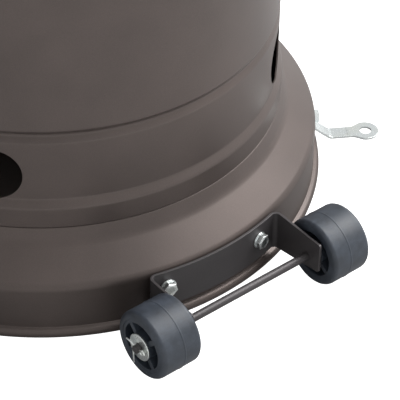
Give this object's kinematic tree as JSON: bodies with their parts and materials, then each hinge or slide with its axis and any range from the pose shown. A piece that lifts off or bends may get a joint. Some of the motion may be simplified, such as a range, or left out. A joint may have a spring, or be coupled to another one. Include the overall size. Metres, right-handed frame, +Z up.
{
  "type": "patio heater",
  "caption": "Free-standing gas patio heater with a round base, transport wheels, lift-up tank cover, post, burner head and wide round reflector.",
  "frame": {"origin": "on the ground at the centre of the round base", "axes": "+Z up along the post, -Y towards the transport wheels, +Y towards the control knob"},
  "size_m": [0.8128, 0.8128, 2.202],
  "materials": {
    "bronze_paint": "satin metallic bronze powder coat",
    "dark_paint": "satin dark bronze powder coat",
    "zinc_plate": "bright zinc plate",
    "wheel_plastic": "moulded slate grey tread",
    "bottle_paint": "light grey bottle paint",
    "brass": "machined brass",
    "cast_zinc": "die-cast, tumbled",
    "black_plastic": "moulded, fine texture",
    "red_plastic": "moulded",
    "black_rubber": "smooth hose and webbing",
    "stainless": "rolled stainless sheet",
    "spun_aluminium": "spun, fine circular lines"
  },
  "bodies": {
    "frame": {"base_pan": "bronze_paint", "upright_1": "dark_paint", "upright_foot_bolt_1": "zinc_plate", "post_foot_bolt_1": "zinc_plate", "upright_2": "dark_paint", "upright_foot_bolt_2": "zinc_plate", "post_foot_bolt_2": "zinc_plate", "upright_3": "dark_paint", "upright_foot_bolt_3": "zinc_plate", "post_foot_bolt_3": "zinc_plate", "anchor_tab_1": "zinc_plate", "anchor_bolt_1": "zinc_plate", "anchor_tab_2": "zinc_plate", "anchor_bolt_2": "zinc_plate", "anchor_tab_3": "zinc_plate", "anchor_bolt_3": "zinc_plate", "wheel_bracket": "dark_paint", "bracket_bolt_1": "zinc_plate", "bracket_bolt_2": "zinc_plate", "axle": "dark_paint", "washer_left": "zinc_plate", "cotter_left": "zinc_plate", "washer_right": "zinc_plate", "cotter_right": "zinc_plate", "gas_bottle": "bottle_paint", "bottle_foot_ring": "bottle_paint", "bottle_guard": "bottle_paint", "bottle_valve": "brass", "regulator": "cast_zinc", "gas_hose": "black_rubber", "bottle_strap": "black_rubber", "post_foot": "dark_paint", "post": "bronze_paint", "head_flange": "dark_paint", "control_housing": "bronze_paint", "gas_valve": "brass", "igniter_bezel": "black_plastic", "burner_deck": "stainless", "burner_cup": "stainless", "pilot_burner": "stainless", "thermocouple": "brass", "emitter_screen": "stainless", "emitter_top": "stainless", "reflector_stud_1": "zinc_plate", "wing_nut_1": "zinc_plate", "reflector_stud_2": "zinc_plate", "wing_nut_2": "zinc_plate", "reflector_stud_3": "zinc_plate", "wing_nut_3": "zinc_plate", "reflector": "spun_aluminium"},
    "cover": {"tank_cover": "bronze_paint", "cover_lid": "bronze_paint", "neck_bushing": "black_plastic"},
    "wheel_left": {"wheel_left": "wheel_plastic"},
    "wheel_right": {"wheel_right": "wheel_plastic"},
    "valve_handwheel": {"valve_handwheel": "red_plastic"},
    "coupling_nut": {"coupling_nut": "black_plastic"},
    "knob_stem": {"knob_stem": "zinc_plate"},
    "control_knob": {"control_knob": "black_plastic"},
    "igniter_button": {"igniter_button": "red_plastic"}
  },
  "joints": [
    {"name": "cover_lift", "type": "slide", "parent": "frame", "child": "cover", "axis": [0, 0, 1], "range_m": [0, 0.86]},
    {"name": "wheel_left_spin", "type": "hinge", "parent": "frame", "child": "wheel_left", "pos_m": [-0.0865, -0.25825, 0.02925], "axis": [1, 0, 0], "continuous": true},
    {"name": "wheel_right_spin", "type": "hinge", "parent": "frame", "child": "wheel_right", "pos_m": [0.0865, -0.25825, 0.02925], "axis": [1, 0, 0], "continuous": true},
    {"name": "bottle_valve_turn", "type": "hinge", "parent": "frame", "child": "valve_handwheel", "pos_m": [0, 0, 0.52], "axis": [0, 0, 1], "range_deg": [0, 720]},
    {"name": "coupling_nut_turn", "type": "hinge", "parent": "frame", "child": "coupling_nut", "pos_m": [0, 0.038, 0.484], "axis": [0, 1, 0], "range_deg": [0, 720]},
    {"name": "knob_turn", "type": "hinge", "parent": "frame", "child": "knob_stem", "pos_m": [0, 0.07, 1.682], "axis": [0, 1, 0], "range_deg": [0, 210]},
    {"name": "knob_push", "type": "slide", "parent": "knob_stem", "child": "control_knob", "axis": [0, -1, 0], "range_m": [0, 0.004], "stiffness_N_per_m": 1200, "springref_m": -0.004},
    {"name": "igniter_push", "type": "slide", "parent": "frame", "child": "igniter_button", "axis": [-0.6428, -0.766, 0], "range_m": [0, 0.005], "stiffness_N_per_m": 1500, "springref_m": -0.004}
  ]
}
